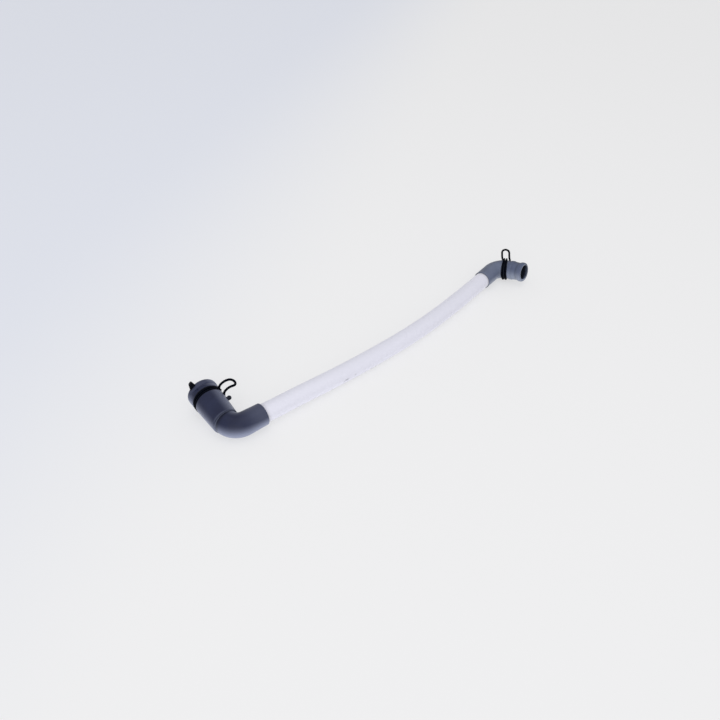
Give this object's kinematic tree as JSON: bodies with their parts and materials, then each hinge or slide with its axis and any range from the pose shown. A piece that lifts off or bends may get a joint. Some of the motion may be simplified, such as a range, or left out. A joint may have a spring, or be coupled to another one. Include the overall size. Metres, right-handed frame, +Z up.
{
  "type": "washing machine hose",
  "caption": "Pale plastic hose with a rubber elbow on each end, one with a wide sleeve and one with a narrow spigot, and a spring wire clamp on each elbow.",
  "frame": {"origin": "centre of the hose's outline as it lies, on the surface under it", "axes": "+X from the elbow with the wide sleeve to the elbow with the narrow end, +Z up as it lies"},
  "size_m": [0.4998, 0.1139, 0.0446],
  "materials": {
    "tube_plastic": "smooth pale blue-white satin plastic, slightly translucent",
    "slate_rubber": "smooth satin, dark slate blue-grey",
    "grey_rubber": "smooth satin, lighter slate grey",
    "black_wire": "black coated spring wire"
  },
  "bodies": {
    "root": {"hose_tube": "tube_plastic", "large_elbow": "slate_rubber", "small_elbow": "grey_rubber", "large_clamp": "black_wire", "small_clamp": "black_wire"}
  },
  "joints": []
}
